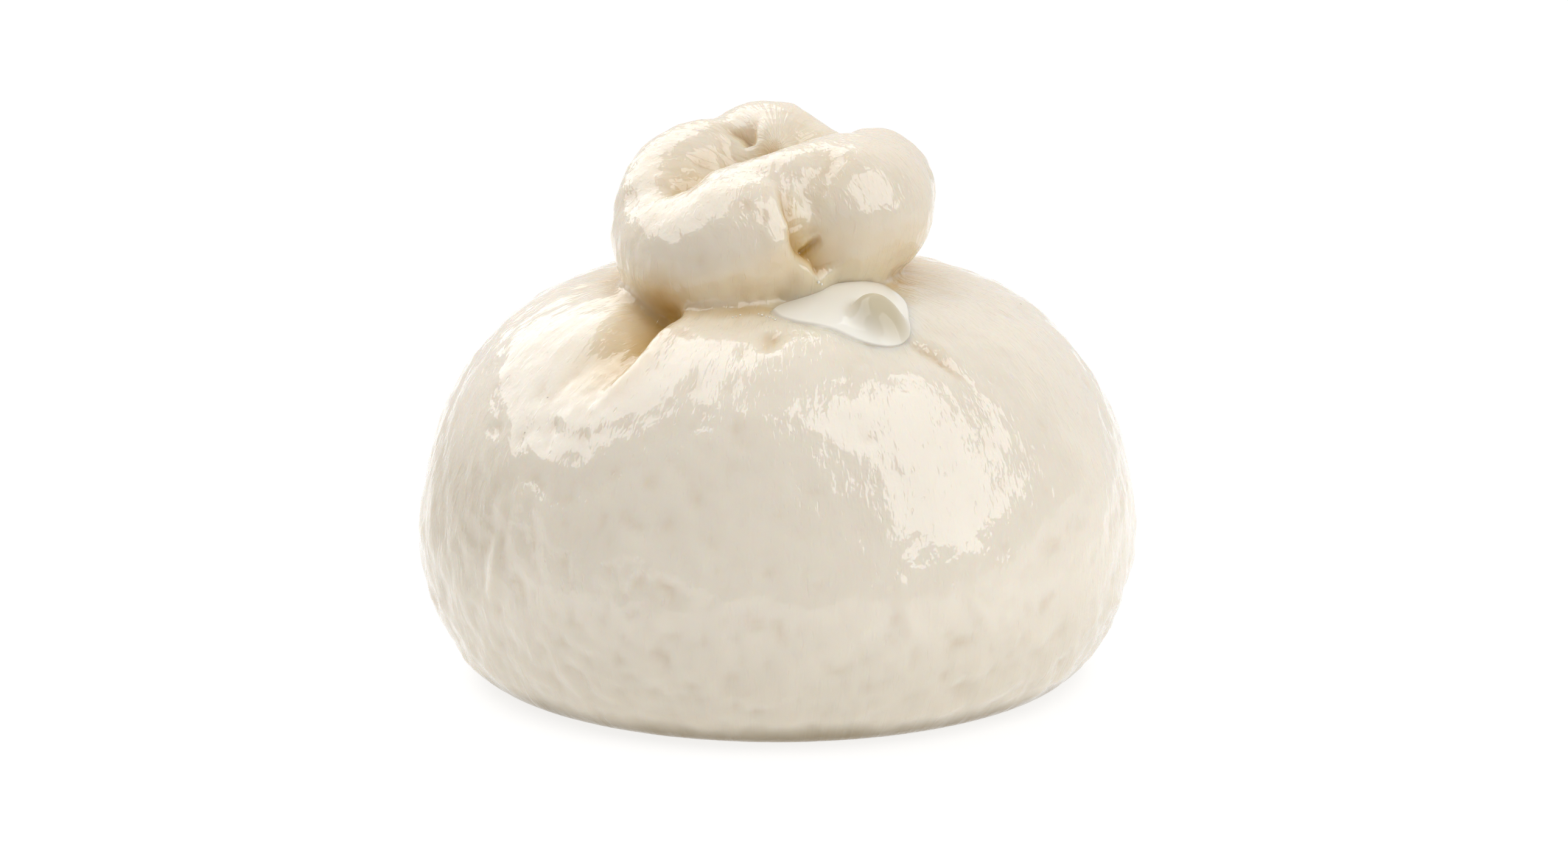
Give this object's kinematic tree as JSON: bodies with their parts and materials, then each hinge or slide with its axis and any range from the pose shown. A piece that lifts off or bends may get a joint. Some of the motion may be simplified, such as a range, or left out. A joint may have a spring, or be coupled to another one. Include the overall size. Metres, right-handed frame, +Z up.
{
  "type": "fresh burrata cheese",
  "caption": "Soft round cream-filled cheese: a slack domed pouch of stretched curd with a flat foot, its neck gathered and folded into a lobed knot, a little cream leaking out under the knot",
  "frame": {"origin": "centre of the flat foot on the ground, under the middle of the bounding box", "axes": "+Z up from the foot to the knot, +X to the right seen from the side where the cream leaks out, -Y towards that side"},
  "size_m": [0.09, 0.087, 0.0698],
  "materials": {
    "curd": "wet glossy ivory skin of stretched curd, soft and slightly translucent, with fine fibres, pleats and pits",
    "cream": "liquid milky cream, very glossy and translucent at its thin edges"
  },
  "bodies": {
    "root": {"burrata": "curd", "cream": "cream"}
  },
  "joints": []
}
